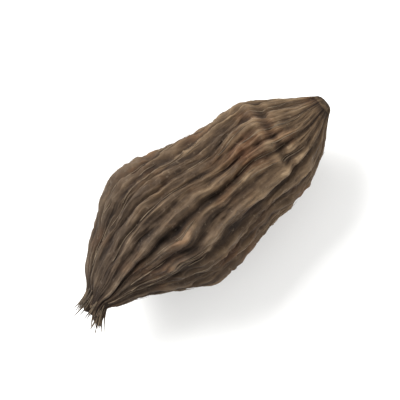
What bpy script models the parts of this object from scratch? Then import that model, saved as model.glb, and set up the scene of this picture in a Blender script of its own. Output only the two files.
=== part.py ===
"""Black cardamom pod: one dried fruit that lies on its flatter side.

X runs along the pod, from the torn calyx to the stalk end. Z is up, and the pod lies on Z = 0.
The whole skin is one closed surface. It is laid out as a grid: rows are stations along the pod, and
columns follow the ribs, with one column down the middle of each furrow. Metres throughout.
"""

import math

import bpy
import numpy as np
from mathutils import Vector, noise

MM = 0.001

# The pod's own sizes
POD_LENGTH = 26.3 * MM  # from the longest tip of the calyx to the edge of the stalk's scar
# Outline seen from above, in millimetres: share of the length, half width, sideways shift of the middle
OUTLINE = (
    (0.00, 1.20, 0.10),
    (0.03, 1.12, 0.40),
    (0.06, 1.35, 0.65),
    (0.10, 2.10, 0.95),
    (0.15, 2.80, 1.30),
    (0.20, 3.50, 1.45),
    (0.26, 4.55, 1.55),
    (0.33, 5.30, 1.50),
    (0.40, 5.65, 1.15),
    (0.47, 5.45, 1.05),
    (0.54, 5.00, 0.90),
    (0.61, 4.55, 0.80),
    (0.68, 4.40, 0.80),
    (0.74, 4.40, 0.80),
    (0.79, 4.20, 0.82),
    (0.84, 3.70, 0.72),
    (0.88, 3.05, 0.62),
    (0.92, 2.40, 0.62),
    (0.96, 1.65, 0.72),
    (1.00, 0.90, 0.78),
)
HEIGHT_SHARE = 0.90  # height of the section against its width
WAIST_FILL = 0.15  # the waist seen from above is this much fuller from the side
WAIST_STATION = 0.64
KEEL_SHARE = 0.06  # how far the section is three-sided
KEEL_ANGLE = math.radians(96)  # the upper corner of the three-sided section
DENT_SHARE = 0.06  # how far the drying has dented or swelled the section
CALYX_LIFT = 0.6 * MM  # how far the calyx end turns up
STALK_LIFT = 0.5 * MM
SAG_DEPTH = 0.80 * MM  # the underside sags here, so that the pod lies under its own weight
SAG_STATION = 0.56
CREASE_STATION = 0.790  # a fold across the shoulder: a raised lip, and a crease on the stalk's side of it
CREASE_SLANT = 0.030
CREASE_WIDTH = 0.016
CREASE_DEPTH = 0.40 * MM
LIP_HEIGHT = 0.18 * MM
PRESSED_HEIGHT = 3.4 * MM  # the underside is squashed up to this height above its lowest point
PRESSED_SHARE = 0.8
PRESSED_WIDTH = 4.2 * MM  # half the width that is squashed
PRESSED_FADE = 1.8 * MM  # and this much of it eases off to nothing
REST_CUT = 0.45 * MM  # then this much of the lowest ribs is worn flat, where the pod lies

# The ribs and wrinkles
RIBS = 21
RIB_HEIGHT = 0.78 * MM
RIB_LIMIT = 0.95 * MM  # no crest stands much higher than this
FORK_WIDTH = 1.15  # ribs wider than this, against the mean, part in two
RIB_SEED = 12
SUTURE_RIBS = 7  # a deep furrow after this many ribs: the three seams of the husk
SUTURE_DEPTH = 0.45 * MM
SUTURE_ANGLE = math.radians(102)  # where the first seam ends, at the stalk
WRINKLE_HEIGHT = 0.22 * MM
WRINKLE_SIZE = 2.1 * MM

# The calyx, a short tube with a torn edge
CALYX_HOLE_SHARE = 0.62  # of its radius
CALYX_FLOOR = 1.7 * MM  # from the longest tip down to the bottom of the hollow
TEAR_DEPTH = 1.0 * MM
TEAR_LOBES = 6

# The grid
COLUMNS_PER_RIB = 5
ROWS = 48

FULL_TURN = 2 * math.pi


def smooth_step(value):
    """Runs from 0 to 1 as value does, with soft ends."""
    value = np.clip(value, 0, 1)
    return value * value * (3 - 2 * value)


def waver(first, second, third):
    """Smooth noise from -1 to 1 over three arrays of one shape."""
    first, second, third = np.broadcast_arrays(first, second, third)
    places = zip(first.ravel(), second.ravel(), third.ravel())
    made = [noise.noise(Vector(place), noise_basis="PERLIN_ORIGINAL") for place in places]
    return np.array(made).reshape(first.shape)


def curve_through(known, values, wanted):
    """Smooth curve through the known points, read at the wanted places."""
    slopes = np.gradient(values, known)
    part = np.clip(np.searchsorted(known, wanted, side="right") - 1, 0, len(known) - 2)
    step = known[part + 1] - known[part]
    t = (wanted - known[part]) / step
    bow_in, bow_out = t * (1 - t) ** 2, t * t * (t - 1)
    rise = t * t * (3 - 2 * t)
    level = values[part] + (values[part + 1] - values[part]) * rise
    return level + step * (slopes[part] * bow_in + slopes[part + 1] * bow_out)


def rib_layout(rows, columns_per_rib):
    """Angle, rib number, place across the rib (-1 to 1) and rib width of each column, for each row."""
    station = rows[:, None]
    edge = np.arange(RIBS + 1)
    furrow = edge - 0.5 + 0.50 * waver(edge % RIBS * 2.3, station * 5.0, 3.1)
    furrow = furrow + 0.16 * waver(edge % RIBS * 5.1, station * 15.0, 8.6)
    lean = 0.45 * waver(edge[:RIBS] * 3.7, station * 8.1, 7.7)
    column = np.arange(RIBS * columns_per_rib)
    rib = column // columns_per_rib
    place = 2 * (column % columns_per_rib) / columns_per_rib - 1
    near, far = furrow[:, rib], furrow[:, rib + 1]
    turn = near + (far - near) * (1 + place + lean[:, rib] * (1 - place**2)) / 2
    angle = FULL_TURN * (turn + 0.5) / RIBS + SUTURE_ANGLE
    angle = angle + 0.20 * np.sin(angle + 3.6 * station + 0.6) - 0.20 * np.sin(SUTURE_ANGLE + 4.2)
    angle = angle + 0.08 * np.sin(3 * angle - 5.0 * station + 2.1)
    return angle, rib, place, far - near


def rib_relief(rows, rib, place, width, small):
    """How far the ribs stand out of the plain pod, for each row and column."""
    random = np.random.default_rng(RIB_SEED)
    height = RIB_HEIGHT * random.uniform(0.55, 1.15, RIBS)
    starts = random.uniform(-0.08, 0.25, RIBS)
    ends = random.uniform(0.70, 1.12, RIBS)
    station = rows[:, None]
    swell = 1 + 0.75 * waver(np.arange(RIBS) * 1.9, station * 6.8, 11.3)
    swell = swell + 0.45 * waver(np.arange(RIBS) * 4.3, station * 18.0, 14.9)
    kept = smooth_step((station - starts) / 0.12) * smooth_step((ends - station) / 0.12)
    height = RIB_LIMIT * np.tanh(height * swell / RIB_LIMIT)
    height = (height * (0.35 + 0.65 * kept))[:, rib] * small * np.clip(width, 0.2, 1.3) ** 0.8
    round_back = 1 - np.abs(place) ** 1.7
    single = np.exp(-((place / 0.56) ** 2))
    double = 0.75 * np.exp(-(((np.abs(place) - 0.5) / 0.26) ** 2))
    fork = smooth_step((width - FORK_WIDTH) / 0.25)
    relief = height * (0.5 * round_back + 0.5 * (single + fork * (double - single)))
    seam = ((rib % SUTURE_RIBS == 0) & (place < 0)) | ((rib % SUTURE_RIBS == SUTURE_RIBS - 1) & (place > 0))
    side = np.exp(-(((1 - np.abs(place)) / 0.5) ** 2))
    return relief - SUTURE_DEPTH * small * np.where(seam, side, 0)


def torn_edge(angle):
    """How far the calyx is torn back at each angle: rounded lobes with sharp notches between them."""
    turn = angle / FULL_TURN * TEAR_LOBES + 0.30 * np.sin(2 * angle + 1.0)
    lobe = np.floor(turn) % TEAR_LOBES
    notch = 1 - np.sin(math.pi * (turn % 1)) ** 0.6
    broken = 0.5 * (1 + np.sin(lobe * 2.4 + 0.8)) * np.sin(math.pi * (turn % 1)) ** 0.4
    return TEAR_DEPTH * np.clip(notch + 0.7 * broken, 0, 1)


def skin_points(rows, columns_per_rib, shares, cup, scar):
    """Points of the skin: a row for each station, with its share of the radius and its way in or out."""
    known, half_width, shift = np.array(OUTLINE).T
    radius = curve_through(known, half_width * MM, rows)[:, None]
    middle = curve_through(known, shift * MM, rows)[:, None]
    station = rows[:, None]
    angle, rib, place, width = rib_layout(rows, columns_per_rib)
    small = (radius / (half_width.max() * MM)) ** 0.9
    across, up = np.cos(angle), np.sin(angle)
    section = 1 + KEEL_SHARE * np.cos(3 * (angle - KEEL_ANGLE))
    section = section + DENT_SHARE * waver(1.3 * across, 1.3 * up, 6.5 * station + 21.7)
    reach = POD_LENGTH / WRINKLE_SIZE
    belly = half_width.max() * MM / WRINKLE_SIZE
    wrinkle = waver(2.6 * belly * across, 2.6 * belly * up + 1.2 * station, reach * station + 0.5 * across)
    lip_line = CREASE_STATION + CREASE_SLANT * across + 0.010 * waver(3 * across, 3 * up, 40.2)
    beyond = (station - lip_line) / CREASE_WIDTH
    fold = LIP_HEIGHT * np.exp(-(beyond**2)) - CREASE_DEPTH * np.exp(-((beyond - 1.5) ** 2))
    fold = fold * smooth_step((across + 0.75) / 0.35) * smooth_step((up + 0.05) / 0.45)
    out = radius * section + rib_relief(rows, rib, place, width, small)
    out = out + WRINKLE_HEIGHT * small * wrinkle + fold
    out = out * shares[:, None]
    tear = torn_edge(angle) * (1 - smooth_step(station / 0.09))
    x = POD_LENGTH * station + tear + scar[:, None]
    x = x + (CALYX_FLOOR - x) * cup[:, None]
    lift = STALK_LIFT * smooth_step((station - 0.62) / 0.38) + CALYX_LIFT * smooth_step((0.3 - station) / 0.3)
    sag = SAG_DEPTH * np.exp(-(((station - SAG_STATION) / 0.14) ** 2)) * (1 - up) / 2
    tall = HEIGHT_SHARE * (1 + WAIST_FILL * np.exp(-(((station - WAIST_STATION) / 0.13) ** 2)))
    return np.stack([x, middle + out * across, lift - sag + tall * out * up], axis=-1)


def pod_rows(count):
    """Rows of the hollow calyx, then of the outside, closer together towards both ends, then of the scar."""
    even = np.linspace(0, 1, count)
    outside = even - 0.050 * np.sin(FULL_TURN * even)
    cup_shares = np.array([0.36, 0.72, 0.96, 1.0, 1.3]) * CALYX_HOLE_SHARE
    cup = np.array([1.0, 1.0, 0.65, 0.05, 0.0])
    scar_shares = np.array([0.84, 0.60, 0.30])
    scar = np.array([0.24, 0.40, 0.47]) * MM
    rows = np.concatenate([np.zeros(len(cup)), outside, np.ones(len(scar))])
    shares = np.concatenate([cup_shares, np.ones(count), scar_shares])
    cup = np.concatenate([cup, np.zeros(count + len(scar))])
    return rows, shares, cup, np.concatenate([np.zeros(len(rows) - len(scar)), scar])


def settled(height, sideways):
    """Heights over the ground of a pod that has lain on its lowest ribs while it dried."""
    over = height - height.min()
    share = np.clip(over / PRESSED_HEIGHT, 0, 1)
    under = smooth_step((PRESSED_WIDTH - np.abs(sideways)) / PRESSED_FADE)
    over = over - PRESSED_SHARE * PRESSED_HEIGHT * under * share * (1 - share) ** 2
    return np.maximum(over - REST_CUT, 0)


def pod_mesh(name):
    """The skin as one closed mesh, with a point at the middle of each end."""
    rows, shares, cup, scar = pod_rows(ROWS)
    grid = skin_points(rows, COLUMNS_PER_RIB, shares, cup, scar)
    flat = grid[:, :, :2].reshape(-1, 2)
    grid[:, :, :2] -= (flat.max(0) + flat.min(0)) / 2
    grid[:, :, 2] = settled(grid[:, :, 2], grid[:, :, 1])
    row_count, column_count = grid.shape[:2]
    points = [tuple(p) for p in grid.reshape(-1, 3)]
    points.append(tuple(grid[0].mean(0)))
    points.append(tuple(grid[-1].mean(0)))
    start_middle, end_middle = row_count * column_count, row_count * column_count + 1
    faces = []
    for column in range(column_count):
        beside = (column + 1) % column_count
        faces.append((start_middle, beside, column))
        for row in range(row_count - 1):
            here, above = row * column_count, (row + 1) * column_count
            faces.append((here + column, here + beside, above + beside, above + column))
        last = (row_count - 1) * column_count
        faces.append((end_middle, last + column, last + beside))
    mesh = bpy.data.meshes.new(name)
    mesh.from_pydata(points, [], faces)
    mesh.shade_smooth()
    return mesh


def husk_material():
    """Dry, dark brown husk."""
    made = bpy.data.materials.new("husk")
    made.use_nodes = True
    shader = made.node_tree.nodes["Principled BSDF"]
    shader.inputs["Base Color"].default_value = (0.095, 0.060, 0.038, 1)
    shader.inputs["Roughness"].default_value = 0.75
    shader.inputs["Metallic"].default_value = 0.0
    return made


def main():
    for old in list(bpy.data.objects):
        bpy.data.objects.remove(old)
    pod = bpy.data.objects.new("pod", pod_mesh("pod"))
    pod.data.materials.append(husk_material())
    bpy.context.scene.collection.objects.link(pod)


main()
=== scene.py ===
"""Looks of one dried black cardamom pod that lies on a pale floor, seen from straight above."""

import math

import bpy
import numpy as np
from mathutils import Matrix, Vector, noise


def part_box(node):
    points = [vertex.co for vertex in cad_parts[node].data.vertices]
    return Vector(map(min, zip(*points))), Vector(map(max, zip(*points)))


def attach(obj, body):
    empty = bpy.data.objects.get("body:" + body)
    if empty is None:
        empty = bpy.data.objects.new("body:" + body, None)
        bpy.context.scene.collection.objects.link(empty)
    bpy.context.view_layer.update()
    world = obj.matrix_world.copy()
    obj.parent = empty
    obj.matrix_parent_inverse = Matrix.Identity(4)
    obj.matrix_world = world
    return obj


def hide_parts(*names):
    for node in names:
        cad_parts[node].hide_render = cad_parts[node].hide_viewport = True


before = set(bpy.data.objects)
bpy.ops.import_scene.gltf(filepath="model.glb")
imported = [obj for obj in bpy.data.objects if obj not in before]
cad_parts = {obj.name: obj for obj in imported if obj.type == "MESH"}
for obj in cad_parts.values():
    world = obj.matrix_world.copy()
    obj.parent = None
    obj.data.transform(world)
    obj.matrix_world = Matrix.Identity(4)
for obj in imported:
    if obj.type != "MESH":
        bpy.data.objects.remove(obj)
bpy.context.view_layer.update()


# The husk: the dried skin of the fruit, one piece from the torn tube of the calyx to the stalk end.
# It is thin, fibrous and dark brown. It has shrunk onto its fibres as it dried over a fire, so it
# stands in wavy ribs with furrows between them, painted darker as shade, and it lies on the flattened
# underside.

MM = 0.001
FULL_TURN = 2 * math.pi
POD_LENGTH = 26.3 * MM  # from the longest tip of the calyx to the edge of the stalk's scar
# Outline seen from above, in millimetres: share of the length, half width, sideways shift of the middle
OUTLINE = (
    (0.00, 1.20, 0.10),
    (0.03, 1.12, 0.40),
    (0.06, 1.35, 0.65),
    (0.10, 2.10, 0.95),
    (0.15, 2.80, 1.30),
    (0.20, 3.50, 1.45),
    (0.26, 4.55, 1.55),
    (0.33, 5.30, 1.50),
    (0.40, 5.65, 1.15),
    (0.47, 5.45, 1.05),
    (0.54, 5.00, 0.90),
    (0.61, 4.55, 0.80),
    (0.68, 4.40, 0.80),
    (0.74, 4.40, 0.80),
    (0.79, 4.20, 0.82),
    (0.84, 3.70, 0.72),
    (0.88, 3.05, 0.62),
    (0.92, 2.40, 0.62),
    (0.96, 1.65, 0.72),
    (1.00, 0.90, 0.78),
)
HEIGHT_SHARE = 0.90  # height of the section against its width
WAIST_FILL = 0.15  # the waist seen from above is this much fuller from the side
WAIST_STATION = 0.64
KEEL_SHARE = 0.06  # how far the section is three-sided
KEEL_ANGLE = math.radians(96)  # the upper corner of the three-sided section
DENT_SHARE = 0.06  # how far the drying has dented or swelled the section
CALYX_LIFT = 0.6 * MM  # how far the calyx end turns up
STALK_LIFT = 0.5 * MM
SAG_DEPTH = 0.80 * MM  # the underside sags here, so that the pod lies under its own weight
SAG_STATION = 0.56
CREASE_STATION = 0.790  # a fold across the shoulder: a raised lip, and a crease on the stalk's side of it
CREASE_SLANT = 0.030
CREASE_WIDTH = 0.016
CREASE_DEPTH = 0.40 * MM
LIP_HEIGHT = 0.18 * MM
PRESSED_HEIGHT = 3.4 * MM  # the underside is squashed up to this height above its lowest point
PRESSED_SHARE = 0.8
PRESSED_WIDTH = 4.2 * MM  # half the width that is squashed
PRESSED_FADE = 1.8 * MM  # and this much of it eases off to nothing
REST_CUT = 0.45 * MM  # then this much of the lowest ribs is worn flat, where the pod lies
RIBS = 21
RIB_HEIGHT = 0.78 * MM
RIB_LIMIT = 0.95 * MM  # no crest stands much higher than this
FORK_WIDTH = 1.15  # ribs wider than this, against the mean, part in two
RIB_SEED = 12
SUTURE_RIBS = 7  # a deep furrow after this many ribs: the three seams of the husk
SUTURE_DEPTH = 0.45 * MM
SUTURE_ANGLE = math.radians(102)  # where the first seam ends, at the stalk
WRINKLE_HEIGHT = 0.22 * MM
WRINKLE_SIZE = 2.1 * MM
STRAND_HEIGHT = 0.13 * MM  # thin strands along the ribs, which the solid doesn't have
CRINKLE_HEIGHT = 0.15 * MM  # small dents and swellings
PUCKER_HEIGHT = 0.09 * MM  # and sharp little wrinkles across the ribs
CALYX_HOLE_SHARE = 0.62  # of its radius
CALYX_FLOOR = 1.7 * MM  # from the longest tip down to the bottom of the hollow
TEAR_DEPTH = 1.0 * MM
TEAR_LOBES = 6
COLUMNS_PER_RIB = 20
ROWS = 189
# The relief below darkens the furrows as painted shade and pales the crests, partly as wear and partly as
# painted highlight
RELIEF_RANGE = 0.42 * MM  # the colours follow the relief up to this height over the skin round it
RELIEF_RIBS = 0.8  # the skin round a point reaches this many ribs to each side
RELIEF_ROWS = 7  # and this many rows each way along the pod


def smooth_step(value):
    """Runs from 0 to 1 as value does, with soft ends."""
    value = np.clip(value, 0, 1)
    return value * value * (3 - 2 * value)


def waver(first, second, third):
    """Smooth noise from -1 to 1 over three arrays of one shape."""
    first, second, third = np.broadcast_arrays(first, second, third)
    places = zip(first.ravel(), second.ravel(), third.ravel())
    made = [noise.noise(Vector(place), noise_basis="PERLIN_ORIGINAL") for place in places]
    return np.array(made).reshape(first.shape)


def curve_through(known, values, wanted):
    """Smooth curve through the known points, read at the wanted places."""
    slopes = np.gradient(values, known)
    part = np.clip(np.searchsorted(known, wanted, side="right") - 1, 0, len(known) - 2)
    step = known[part + 1] - known[part]
    t = (wanted - known[part]) / step
    bow_in, bow_out = t * (1 - t) ** 2, t * t * (t - 1)
    rise = t * t * (3 - 2 * t)
    level = values[part] + (values[part + 1] - values[part]) * rise
    return level + step * (slopes[part] * bow_in + slopes[part + 1] * bow_out)


def rib_layout(rows, columns_per_rib):
    """Angle, rib number, place across the rib (-1 to 1) and rib width of each column, for each row."""
    station = rows[:, None]
    edge = np.arange(RIBS + 1)
    furrow = edge - 0.5 + 0.50 * waver(edge % RIBS * 2.3, station * 5.0, 3.1)
    furrow = furrow + 0.16 * waver(edge % RIBS * 5.1, station * 15.0, 8.6)
    lean = 0.45 * waver(edge[:RIBS] * 3.7, station * 8.1, 7.7)
    column = np.arange(RIBS * columns_per_rib)
    rib = column // columns_per_rib
    place = 2 * (column % columns_per_rib) / columns_per_rib - 1
    near, far = furrow[:, rib], furrow[:, rib + 1]
    turn = near + (far - near) * (1 + place + lean[:, rib] * (1 - place**2)) / 2
    angle = FULL_TURN * (turn + 0.5) / RIBS + SUTURE_ANGLE
    angle = angle + 0.20 * np.sin(angle + 3.6 * station + 0.6) - 0.20 * np.sin(SUTURE_ANGLE + 4.2)
    angle = angle + 0.08 * np.sin(3 * angle - 5.0 * station + 2.1)
    return angle, rib, place, far - near


def rib_relief(rows, rib, place, width, small):
    """How far the ribs stand out of the plain pod, for each row and column."""
    random = np.random.default_rng(RIB_SEED)
    height = RIB_HEIGHT * random.uniform(0.55, 1.15, RIBS)
    starts = random.uniform(-0.08, 0.25, RIBS)
    ends = random.uniform(0.70, 1.12, RIBS)
    station = rows[:, None]
    swell = 1 + 0.75 * waver(np.arange(RIBS) * 1.9, station * 6.8, 11.3)
    swell = swell + 0.45 * waver(np.arange(RIBS) * 4.3, station * 18.0, 14.9)
    kept = smooth_step((station - starts) / 0.12) * smooth_step((ends - station) / 0.12)
    height = RIB_LIMIT * np.tanh(height * swell / RIB_LIMIT)
    height = (height * (0.35 + 0.65 * kept))[:, rib] * small * np.clip(width, 0.2, 1.3) ** 0.8
    round_back = 1 - np.abs(place) ** 1.7
    single = np.exp(-((place / 0.56) ** 2))
    double = 0.75 * np.exp(-(((np.abs(place) - 0.5) / 0.26) ** 2))
    fork = smooth_step((width - FORK_WIDTH) / 0.25)
    relief = height * (0.5 * round_back + 0.5 * (single + fork * (double - single)))
    after_seam = (rib % SUTURE_RIBS == 0) & (place < 0)
    before_seam = (rib % SUTURE_RIBS == SUTURE_RIBS - 1) & (place > 0)
    side = np.exp(-(((1 - np.abs(place)) / 0.5) ** 2))
    return relief - SUTURE_DEPTH * small * np.where(after_seam | before_seam, side, 0)


def torn_edge(angle):
    """How far the calyx is torn back at each angle: rounded lobes with sharp notches between them."""
    turn = angle / FULL_TURN * TEAR_LOBES + 0.30 * np.sin(2 * angle + 1.0)
    lobe = np.floor(turn) % TEAR_LOBES
    notch = 1 - np.sin(math.pi * (turn % 1)) ** 0.6
    broken = 0.5 * (1 + np.sin(lobe * 2.4 + 0.8)) * np.sin(math.pi * (turn % 1)) ** 0.4
    return TEAR_DEPTH * np.clip(notch + 0.7 * broken, 0, 1)


def fine_relief(station, across, up, flow):
    """Strands that run along the ribs, small dents, and sharp little wrinkles across the ribs."""
    flow_across, flow_up = np.cos(flow), np.sin(flow)
    strand = 1 - 3 * np.abs(waver(13 * flow_across, 13 * flow_up, 8 * station + 5.5))
    crinkle = waver(20 * across, 20 * up, 34 * station)
    crinkle = crinkle - 1.2 * np.abs(waver(8 * across, 8 * up, 22 * station + 3.3)) + 0.3
    pucker = 0.5 - 2.6 * np.abs(waver(9 * across + 2.2, 9 * up, 52 * station))
    here = smooth_step(0.5 + 1.6 * waver(4 * across, 4 * up, 9 * station + 17.0))
    return STRAND_HEIGHT * strand + CRINKLE_HEIGHT * crinkle + PUCKER_HEIGHT * pucker * here


def skin_points(rows, columns_per_rib, shares, cup, scar):
    """Points of the skin, how far each stands out of the skin round it, and its turn along the ribs."""
    known, half_width, shift = np.array(OUTLINE).T
    radius = curve_through(known, half_width * MM, rows)[:, None]
    middle = curve_through(known, shift * MM, rows)[:, None]
    station = rows[:, None]
    angle, rib, place, width = rib_layout(rows, columns_per_rib)
    small = (radius / (half_width.max() * MM)) ** 0.9
    across, up = np.cos(angle), np.sin(angle)
    section = 1 + KEEL_SHARE * np.cos(3 * (angle - KEEL_ANGLE))
    section = section + DENT_SHARE * waver(1.3 * across, 1.3 * up, 6.5 * station + 21.7)
    reach = POD_LENGTH / WRINKLE_SIZE
    belly = half_width.max() * MM / WRINKLE_SIZE
    wrinkle = waver(2.6 * belly * across, 2.6 * belly * up + 1.2 * station, reach * station + 0.5 * across)
    lip_line = CREASE_STATION + CREASE_SLANT * across + 0.010 * waver(3 * across, 3 * up, 40.2)
    beyond = (station - lip_line) / CREASE_WIDTH
    fold = LIP_HEIGHT * np.exp(-(beyond**2)) - CREASE_DEPTH * np.exp(-((beyond - 1.5) ** 2))
    fold = fold * smooth_step((across + 0.75) / 0.35) * smooth_step((up + 0.05) / 0.45)
    out = radius * section + rib_relief(rows, rib, place, width, small)
    out = out + WRINKLE_HEIGHT * small * wrinkle + fold
    flow = FULL_TURN * (rib + place / 2) / RIBS
    out = out + small * fine_relief(station, across, up, flow)
    standing = relief_of(out, small, columns_per_rib)
    out = out * shares[:, None]
    tear = torn_edge(angle) * (1 - smooth_step(station / 0.09))
    x = POD_LENGTH * station + tear + scar[:, None]
    x = x + (CALYX_FLOOR - x) * cup[:, None]
    lift = STALK_LIFT * smooth_step((station - 0.62) / 0.38)
    lift = lift + CALYX_LIFT * smooth_step((0.3 - station) / 0.3)
    sag = SAG_DEPTH * np.exp(-(((station - SAG_STATION) / 0.14) ** 2)) * (1 - up) / 2
    tall = HEIGHT_SHARE * (1 + WAIST_FILL * np.exp(-(((station - WAIST_STATION) / 0.13) ** 2)))
    return np.stack([x, middle + out * across, lift - sag + tall * out * up], axis=-1), standing, flow


def relief_of(out, small, columns_per_rib):
    """Height of each point over the mean of the skin round it, from -1 in a furrow to 1 on a crest."""
    reach_across, reach_along = round(RELIEF_RIBS * columns_per_rib), RELIEF_ROWS
    wide = np.concatenate([out[:, -reach_across:], out, out[:, :reach_across]], axis=1)
    total = np.cumsum(np.pad(wide, ((0, 0), (1, 0))), axis=1)
    window = 2 * reach_across + 1
    mean = (total[:, window:] - total[:, :-window]) / window
    long = np.pad(mean, ((reach_along, reach_along), (0, 0)), mode="edge")
    total = np.cumsum(np.pad(long, ((1, 0), (0, 0))), axis=0)
    window = 2 * reach_along + 1
    mean = (total[window:] - total[:-window]) / window
    return np.clip((out - mean) / (RELIEF_RANGE * small), -1, 1)


def pod_rows(count):
    """Rows of the hollow calyx, of the outside, closer together towards both ends, and of the scar."""
    even = np.linspace(0, 1, count)
    outside = even - 0.050 * np.sin(FULL_TURN * even)
    # The hollow, from its floor out to the rim: shares of the radius, and how near each row is to the floor
    cup_shares = np.array([0.36, 0.72, 0.96, 1.0, 1.3]) * CALYX_HOLE_SHARE
    cup = np.array([1.0, 1.0, 0.65, 0.05, 0.0])
    # The scar's low dome: shares of the radius, and how far each row stands out past the end
    scar_shares = np.array([0.84, 0.60, 0.30])
    scar = np.array([0.24, 0.40, 0.47]) * MM
    rows = np.concatenate([np.zeros(len(cup)), outside, np.ones(len(scar))])
    shares = np.concatenate([cup_shares, np.ones(count), scar_shares])
    cup = np.concatenate([cup, np.zeros(count + len(scar))])
    return rows, shares, cup, np.concatenate([np.zeros(len(rows) - len(scar)), scar])


def settled(height, sideways):
    """Heights over the ground of a pod that has lain on its lowest ribs while it dried."""
    over = height - height.min()
    share = np.clip(over / PRESSED_HEIGHT, 0, 1)
    under = smooth_step((PRESSED_WIDTH - np.abs(sideways)) / PRESSED_FADE)
    over = over - PRESSED_SHARE * PRESSED_HEIGHT * under * share * (1 - share) ** 2
    return np.maximum(over - REST_CUT, 0)


rows, shares, cup, scar = pod_rows(ROWS)
grid, standing, flow = skin_points(rows, COLUMNS_PER_RIB, shares, cup, scar)
flat = grid[:, :, :2].reshape(-1, 2)
pod_low, pod_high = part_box("pod")
wanted = np.array((pod_low + pod_high)[:2]) / 2
grid[:, :, :2] += wanted - (flat.max(0) + flat.min(0)) / 2
grid[:, :, 2] = settled(grid[:, :, 2], grid[:, :, 1])
row_count, column_count = grid.shape[:2]
points = [tuple(point) for point in grid.reshape(-1, 3)]
points.append(tuple(grid[0].mean(0)))
points.append(tuple(grid[-1].mean(0)))
start_middle, end_middle = row_count * column_count, row_count * column_count + 1
faces = []
for column in range(column_count):
    beside = (column + 1) % column_count
    faces.append((start_middle, beside, column))
    for row in range(row_count - 1):
        here, above = row * column_count, (row + 1) * column_count
        faces.append((here + column, here + beside, above + beside, above + column))
    last = (row_count - 1) * column_count
    faces.append((end_middle, last + column, last + beside))
mesh = bpy.data.meshes.new("husk")
mesh.from_pydata(points, [], faces)
mesh.shade_smooth()

# What the colours follow: the relief, as painted shade in the furrows and the calyx hollow, and a place on
# a straight tube whose length runs along the fibres
FIBRE_RADIUS = 5.5 * MM  # of that tube
# The calyx's hollow is given the deepest relief, so its floor gets the darkest painted shade
END_RELIEF = [-1.0, 0.0]  # the floor of the calyx lies deep, and the middle of the scar is level
crest = mesh.attributes.new("crest", "FLOAT", "POINT")
crest.data.foreach_set("value", np.concatenate([standing.ravel(), END_RELIEF]).astype(np.float32))
along_fibre = np.stack(
    [
        np.broadcast_to(FIBRE_RADIUS * np.cos(flow), standing.shape),
        np.broadcast_to(FIBRE_RADIUS * np.sin(flow), standing.shape),
        np.broadcast_to(POD_LENGTH * rows[:, None], standing.shape),
    ],
    axis=-1,
)
ends = [[0, 0, 0], [0, 0, POD_LENGTH]]
fibre = mesh.attributes.new("fibre", "FLOAT_VECTOR", "POINT")
fibre_places = np.concatenate([along_fibre.reshape(-1, 3), ends]).astype(np.float32)
fibre.data.foreach_set("vector", fibre_places.ravel())


class Value:
    """A number inside a material. Python's own maths on it adds the Math nodes."""

    def __init__(self, paint, socket):
        self.paint, self.socket = paint, socket

    def _with(self, operation, first, second):
        return self.paint.value(self.paint.node("Math", {"operation": operation}, {0: first, 1: second}))

    def __add__(self, other):
        return self._with("ADD", self, other)

    __radd__ = __add__

    def __mul__(self, other):
        return self._with("MULTIPLY", self, other)

    __rmul__ = __mul__

    def __sub__(self, other):
        return self._with("SUBTRACT", self, other)

    def __rsub__(self, other):
        return self._with("SUBTRACT", other, self)


class Paint:
    """One Principled material, and the one way that its other nodes are made."""

    def __init__(self, name):
        self.material = bpy.data.materials.new(name)
        self.material.use_nodes = True
        self.tree = self.material.node_tree
        self.shader = self.tree.nodes["Principled BSDF"]

    def node(self, kind, settings=None, sockets=None):
        """Adds a node: its settings first, then the values and links of its sockets."""
        made = self.tree.nodes.new("ShaderNode" + kind)
        for name, value in (settings or {}).items():
            if name == "stops":
                ramp = made.color_ramp
                while len(ramp.elements) < len(value):
                    ramp.elements.new(0.5)
                for element, (position, colour) in zip(ramp.elements, value):
                    element.position = position
                    element.color = (*colour, 1)
            else:
                setattr(made, name, value)
        for name, value in (sockets or {}).items():
            self.put(made.inputs[name], value)
        return made

    def put(self, socket, value):
        """Sets a socket, or links it."""
        if isinstance(value, Value):
            value = value.socket
        if isinstance(value, bpy.types.NodeSocket):
            self.tree.links.new(value, socket)
        else:
            socket.default_value = value

    def value(self, node, output=0):
        """One of a node's outputs, as a number to calculate with."""
        return Value(self, node.outputs[output])

    def noise(self, coordinates, scale, detail, roughness):
        """Smooth noise from 0 to 1, with features of about 1 / scale metres."""
        sockets = {"Vector": coordinates, "Scale": scale, "Detail": detail, "Roughness": roughness}
        return self.value(self.node("TexNoise", {"normalize": True}, sockets))

    def between(self, value, low, high):
        """0 below low and 1 above high, with soft ends."""
        settings = {"interpolation_type": "SMOOTHSTEP"}
        sockets = {"Value": value, "From Min": low, "From Max": high}
        return self.value(self.node("MapRange", settings, sockets))

    def blend(self, share, first, second, how="MIX"):
        """A colour between two colours."""
        settings = {"data_type": "RGBA", "blend_type": how}
        made = self.node("Mix", settings, {0: share, 6: first, 7: second})
        return made.outputs[2]


# Features in a metre: fibres, and the flakes of skin between them, are drawn out along the ribs
FINE_FIBRES = 4200
COARSE_FIBRES = 1700
FLAKES = 1500
SPECKS = 2600
BLOTCHES = 260
FIBRE_STRETCH = (1, 1, 0.09)
FLAKE_STRETCH = (1, 1, 0.35)
BUMP_HEIGHT = 0.22 * MM
RAGGED_BY = 8 * MM  # what changes along the pod does so in ragged blotches, this far out of line
# The skin's colours, from the painted shade of the furrows to the palest crests, which are partly worn and
# partly painted highlight
SHADES = (
    (0.10, (0.0145, 0.0085, 0.0049)),
    (0.34, (0.0335, 0.0198, 0.0106)),
    (0.56, (0.0615, 0.0378, 0.0201)),
    (0.78, (0.1070, 0.0685, 0.0368)),
    (0.98, (0.2000, 0.1370, 0.0790)),
)
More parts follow.
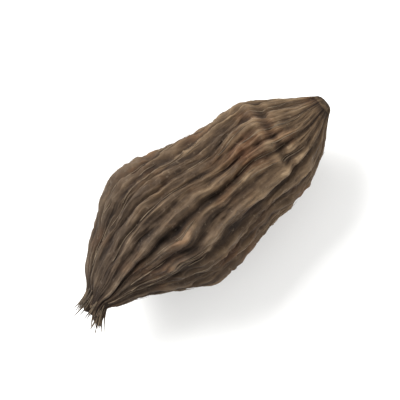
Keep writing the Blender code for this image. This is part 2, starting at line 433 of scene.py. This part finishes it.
# Tints, which multiply the shade under them
REDDISH_TINT = (1.08, 0.89, 0.77, 1)
GREY_TINT = (0.82, 0.82, 0.80, 1)
SMOKE_TINT = (0.63, 0.71, 0.93, 1)
RUST_TINT = (1.22, 0.90, 0.76, 1)
STAIN_TINT = (0.60, 0.62, 0.66, 1)
PIT_TINT = (0.45, 0.42, 0.40, 1)
# Colours that cover it
DUST = (0.20, 0.150, 0.10, 1)
SCAR_DARK = (0.040, 0.025, 0.013, 1)
SCAR_PALE = (0.105, 0.068, 0.038, 1)
# Patches: the middle in millimetres on the pod, and the radius
RUSTY_PATCH = (5.6, 0.4, 9.6), 1.7 * MM
STAINED_PATCH = (-4.4, -2.0, 10.6), 2.4 * MM
PATCH_EDGE = 2.4 * MM  # how ragged the edge of a patch is

husk = Paint("dried_husk")
relief = husk.value(husk.node("Attribute", {"attribute_name": "crest"}), "Fac")
fibre_place = husk.node("Attribute", {"attribute_name": "fibre"}).outputs["Vector"]
place_on_pod = husk.node("TexCoord").outputs["Object"]
drawn_out = husk.node("Mapping", {}, {"Vector": fibre_place, "Scale": FIBRE_STRETCH}).outputs[0]
half_drawn = husk.node("Mapping", {}, {"Vector": fibre_place, "Scale": FLAKE_STRETCH}).outputs[0]

fine_fibres = husk.noise(drawn_out, FINE_FIBRES, 3, 0.6)
coarse_fibres = husk.noise(drawn_out, COARSE_FIBRES, 2, 0.55)
blotches = husk.noise(place_on_pod, BLOTCHES, 3, 0.6)
specks = husk.noise(place_on_pod, SPECKS, 3, 0.65)
flakes = husk.noise(half_drawn, FLAKES, 4, 0.6)

along = husk.value(husk.node("SeparateXYZ", {}, {0: fibre_place}), 2)
ragged_along = along + (blotches - 0.5) * RAGGED_BY
stalk_half = husk.between(ragged_along, 12 * MM, 22 * MM)

# The relief paints shade into the furrows and the calyx hollow, and paler crests that are partly wear and
# partly painted highlight
level = relief * 0.25 + 0.46 + 0.075 * stalk_half
level = level + (flakes - 0.5) * 0.90 + (coarse_fibres - 0.5) * 0.62 + (fine_fibres - 0.5) * 0.50
skin = husk.node("ValToRGB", {"stops": SHADES}, {0: level}).outputs[0]
reddish = husk.blend(husk.between(blotches, 0.50, 0.72), skin, REDDISH_TINT, "MULTIPLY")
greyed = husk.blend(husk.between(blotches, 0.48, 0.26), reddish, GREY_TINT, "MULTIPLY")
dusty = husk.blend(husk.between(specks, 0.58, 0.76) * 0.34, greyed, DUST)
sooty = 1 - husk.between(ragged_along, 1 * MM, 17 * MM)
smoked = husk.blend(sooty * 0.62, dusty, SMOKE_TINT, "MULTIPLY")


def patch(middle, radius):
    """1 within a patch of the skin, and 0 beyond its ragged edge. Its middle is in millimetres."""
    middle = tuple(number * MM for number in middle)
    apart = husk.node("VectorMath", {"operation": "DISTANCE"}, {0: place_on_pod, 1: middle})
    distance = husk.value(apart, 1)
    return husk.between(distance + (flakes - 0.5) * PATCH_EDGE, radius * 1.35, radius * 0.5)


rusty = husk.blend(patch(*RUSTY_PATCH) * 0.6, smoked, RUST_TINT, "MULTIPLY")
stained = husk.blend(patch(*STAINED_PATCH) * 0.6, rusty, STAIN_TINT, "MULTIPLY")
pitted = husk.blend(husk.between(specks, 0.42, 0.26) * 0.5, stained, PIT_TINT, "MULTIPLY")

# The stalk's scar: a dark ring round a paler, speckled cap
scar_ring = husk.between(along, POD_LENGTH - 0.9 * MM, POD_LENGTH - 0.4 * MM)
ringed = husk.blend(scar_ring * 0.7, pitted, PIT_TINT, "MULTIPLY")
scar_colour = husk.blend(husk.between(specks, 0.40, 0.62), SCAR_DARK, SCAR_PALE)
scar_cap = husk.between(along, POD_LENGTH - 0.15 * MM, POD_LENGTH - 0.02 * MM)
scarred = husk.blend(scar_cap, ringed, scar_colour)

husk.put(husk.shader.inputs["Base Color"], scarred)
husk.put(husk.shader.inputs["Roughness"], 0.84 - 0.20 * husk.between(relief + flakes - 0.5, 0.0, 0.9))
husk.shader.inputs["Specular IOR Level"].default_value = 0.22
bumps = fine_fibres * 0.8 + flakes * 0.8 + specks * 0.25 + coarse_fibres * 0.5
husk.put(
    husk.shader.inputs["Normal"],
    husk.node("Bump", {}, {"Strength": 0.9, "Distance": BUMP_HEIGHT, "Height": bumps}).outputs[0],
)
mesh.materials.append(husk.material)
husk_piece = bpy.data.objects.new("husk", mesh)
bpy.context.scene.collection.objects.link(husk_piece)
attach(husk_piece, "root")
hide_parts("pod")


# The calyx threads: what is left of the flower's papery tube, dried to stiff threads round the torn rim.
# Each is a thin tapered fibre that starts a little way down the tube and stands out past its edge.
CALYX_THREADS = 40
THREAD_SEED = 31
RIM_ROW = 5  # the first row of the outside
ROOT_ROWS = (8, 20)  # the roots lie at different rows between these
ROOT_STEP = 5  # rows from one thread's root to the next one's, round and round
ROOT_DEPTH = 0.06 * MM
THREAD_SHIFT = (-0.4, 0.4)  # out of its even place round the rim, as a share of the space between threads
THREAD_REACH = (-0.1, 1.4)  # past the rim, in millimetres
THREAD_SPLAY = (-0.25, 0.30)  # outward bend over the whole thread, as a share of its length
THREAD_DROOP = (-0.25, 0.25)  # the same to one side
THREAD_RADIUS = (0.05, 0.11)  # in millimetres
THREAD_POINTS = 9
THREAD_TAPER = 0.85  # share of the radius that is gone at the tip
CALYX_SIDES = 5
CALYX_DARK = (0.026, 0.018, 0.011, 1)
CALYX_PALE = (0.100, 0.070, 0.042, 1)


def outward_normals(points):
    """Directions out of the skin at each point of the grid."""
    along = np.gradient(points, axis=0)
    around = np.roll(points, -1, axis=1) - np.roll(points, 1, axis=1)
    made = np.cross(around, along)
    return made / np.maximum(np.linalg.norm(made, axis=-1, keepdims=True), 1e-12)


def add_thread(points, faces, path, radius, sides):
    """Adds a thin tube along a path, pointed at its far end, to lists of points and faces."""
    start = len(points)
    steps = len(path)
    tangent = np.gradient(path, axis=0)
    tangent /= np.linalg.norm(tangent, axis=1, keepdims=True)
    first = np.cross(tangent, (0.31, 0.17, 0.93))  # any direction that no thread runs in
    first /= np.linalg.norm(first, axis=1, keepdims=True)
    second = np.cross(tangent, first)
    thin = radius * (1 - THREAD_TAPER * (np.arange(steps) / (steps - 1)) ** 2)
    turn = FULL_TURN * np.arange(sides) / sides
    ring = first[:, None] * np.cos(turn)[:, None] + second[:, None] * np.sin(turn)[:, None]
    points.extend(map(tuple, (path[:, None] + ring * thin[:, None, None]).reshape(-1, 3)))
    for step in range(steps - 1):
        here, above = start + step * sides, start + (step + 1) * sides
        for side in range(sides):
            beside = (side + 1) % sides
            faces.append((here + side, here + beside, above + beside, above + side))
    faces.append(tuple(start + side for side in reversed(range(sides))))
    faces.append(tuple(start + (steps - 1) * sides + side for side in range(sides)))


def thread_material(name, dark, pale):
    """Dry fibre, with a colour that changes from thread to thread and along each."""
    paint = Paint(name)
    place = paint.node("TexCoord").outputs["Object"]
    mixed = paint.noise(place, 900, 3, 0.6)
    paint.put(paint.shader.inputs["Base Color"], paint.blend(paint.between(mixed, 0.3, 0.7), dark, pale))
    paint.put(paint.shader.inputs["Roughness"], 0.62 + 0.25 * mixed)
    paint.shader.inputs["Specular IOR Level"].default_value = 0.25
    return paint.material


def add_threads(name, points, faces, material):
    """Makes one piece of many threads and sets it on the pod."""
    made = bpy.data.meshes.new(name)
    made.from_pydata(points, [], faces)
    made.shade_smooth()
    made.materials.append(material)
    piece = bpy.data.objects.new(name, made)
    bpy.context.scene.collection.objects.link(piece)
    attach(piece, "root")
    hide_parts("pod")


normals = outward_normals(grid)
random = np.random.default_rng(THREAD_SEED)
thread_points, thread_faces = [], []
for number in range(CALYX_THREADS):
    column = int(column_count * (number + random.uniform(*THREAD_SHIFT)) / CALYX_THREADS) % column_count
    root_row = ROOT_ROWS[0] + number * ROOT_STEP % (ROOT_ROWS[1] - ROOT_ROWS[0])
    root, rim = grid[root_row, column], grid[RIM_ROW, column]
    way = rim - root
    buried = np.linalg.norm(way)
    way /= buried
    outward = normals[root_row, column]
    length = buried + random.uniform(*THREAD_REACH) * MM
    splay, droop = random.uniform(*THREAD_SPLAY), random.uniform(*THREAD_DROOP)
    t = np.linspace(0, 1, THREAD_POINTS)[:, None]
    path = root - outward * ROOT_DEPTH * (1 - t) + way * length * t + outward * splay * length * t**2
    path = path + np.cross(way, outward) * droop * length * t**2
    add_thread(thread_points, thread_faces, path, random.uniform(*THREAD_RADIUS) * MM, CALYX_SIDES)
calyx_fibre = thread_material("calyx_fibre", CALYX_DARK, CALYX_PALE)
add_threads("calyx_threads", thread_points, thread_faces, calyx_fibre)


# The loose strands: fibres of the skin that have lifted as it dried. They lie along the ribs, each held at
# one end, and are paler than the skin under them.
LOOSE_STRANDS = 90
STRAND_STARTS = (0.12, 0.80)  # shares of the rows
STRAND_STEPS = (10, 34)  # rows that a strand crosses
STRAND_WANDER = (-0.16, 0.16)  # columns that it moves sideways at each row
STRAND_LIFT = (0.03, 0.22)  # of its free end, in millimetres
STRAND_RADIUS = (0.030, 0.055)  # in millimetres
STRAND_BED = 0.02 * MM  # its middle line lies this far over the skin
STRAND_SIDES = 4
STRAND_SMOOTHING = 3  # times that each point is drawn to the middle of its neighbours
LOWEST_STRAND = 0.6 * MM  # none lies lower over the floor
STRAND_DARK = (0.060, 0.042, 0.027, 1)
STRAND_PALE = (0.17, 0.125, 0.080, 1)

thread_points, thread_faces = [], []
for _ in range(LOOSE_STRANDS):
    column = random.uniform(0, column_count)
    row = int(random.uniform(*STRAND_STARTS) * row_count)
    steps = int(random.uniform(*STRAND_STEPS))
    wander = random.uniform(*STRAND_WANDER)
    lifted = random.uniform(*STRAND_LIFT) * MM
    picked = np.clip(row + np.arange(steps), 0, row_count - 1)
    at = column + wander * np.arange(steps)
    before = np.floor(at).astype(int)
    share = (at - before)[:, None]
    before, after = before % column_count, (before + 1) % column_count
    skin_under = grid[picked, before] * (1 - share) + grid[picked, after] * share
    outward = normals[picked, before] * (1 - share) + normals[picked, after] * share
    t = np.linspace(0, 1, steps)[:, None]
    path = skin_under + outward * (STRAND_BED + lifted * t**3)
    if path[:, 2].min() > LOWEST_STRAND:
        for _ in range(STRAND_SMOOTHING):
            path[1:-1] = (path[:-2] + path[1:-1] + path[2:]) / 3
        radius = random.uniform(*STRAND_RADIUS) * MM
        add_thread(thread_points, thread_faces, path, radius, STRAND_SIDES)
skin_fibre = thread_material("skin_fibre", STRAND_DARK, STRAND_PALE)
add_threads("loose_strands", thread_points, thread_faces, skin_fibre)


# The floor: a plain pale board with a matt finish, which isn't part of the pod.
# It lies level under the pod, at the height of the flattened underside.
FLOOR_REACH = 1.5
near, far = -FLOOR_REACH, FLOOR_REACH
corners = [(near, near, 0), (far, near, 0), (far, far, 0), (near, far, 0)]
floor_mesh = bpy.data.meshes.new("floor")
floor_mesh.from_pydata(corners, [], [(0, 1, 2, 3)])
board = Paint("pale_board")
board.shader.inputs["Base Color"].default_value = (0.86, 0.86, 0.85, 1)
board.shader.inputs["Roughness"].default_value = 0.9
board.shader.inputs["Specular IOR Level"].default_value = 0.1
floor_mesh.materials.append(board.material)
floor = bpy.data.objects.new("floor", floor_mesh)
bpy.context.scene.collection.objects.link(floor)

# The light: a soft lamp at the picture's upper left, a weaker one at the lower right that fills the
# shadows, and a white room. Both lamps are square and point at the pod.
CAMERA_TURN = math.radians(40)  # of the camera, against the pod's own axis
picture_right = Vector((math.cos(-CAMERA_TURN), math.sin(-CAMERA_TURN), 0))
picture_up = Vector((-picture_right.y, picture_right.x, 0))


def lamp(name, right, up, height, size, power):
    """A square soft lamp that points at the pod. Places are along the picture's sides, in metres."""
    data = bpy.data.lights.new(name, "AREA")
    data.size = size
    data.energy = power
    made = bpy.data.objects.new(name, data)
    made.location = picture_right * right + picture_up * up + Vector((0, 0, height))
    made.rotation_mode = "QUATERNION"
    made.rotation_quaternion = made.location.to_track_quat("Z", "Y")
    bpy.context.scene.collection.objects.link(made)


lamp("key_lamp", right=-0.16, up=0.14, height=0.20, size=0.16, power=1.5)
lamp("fill_lamp", right=0.20, up=-0.10, height=0.16, size=0.20, power=0.48)
room = bpy.data.worlds.new("room")
room.use_nodes = True
walls = room.node_tree.nodes["Background"]
walls.inputs["Color"].default_value = (1, 1, 1, 1)
walls.inputs["Strength"].default_value = 0.75
bpy.context.scene.world = room
bpy.context.scene.view_settings.view_transform = "Standard"

# The camera: straight above, turned so that the calyx lies at the lower left, as in the photograph.
# Its lens is long, because the photograph was taken from far off against the pod's size.
LENS = 640  # in millimetres, over a sensor 36 mm wide
CAMERA_HEIGHT = 0.60
camera_data = bpy.data.cameras.new("camera")
camera_data.lens = LENS
camera_data.sensor_width = 36
camera_data.clip_start = 0.05
camera = bpy.data.objects.new("camera", camera_data)
camera.location = Vector((0, 0, CAMERA_HEIGHT))
camera.rotation_euler = (0, 0, -CAMERA_TURN)
bpy.context.scene.collection.objects.link(camera)
bpy.context.scene.camera = camera
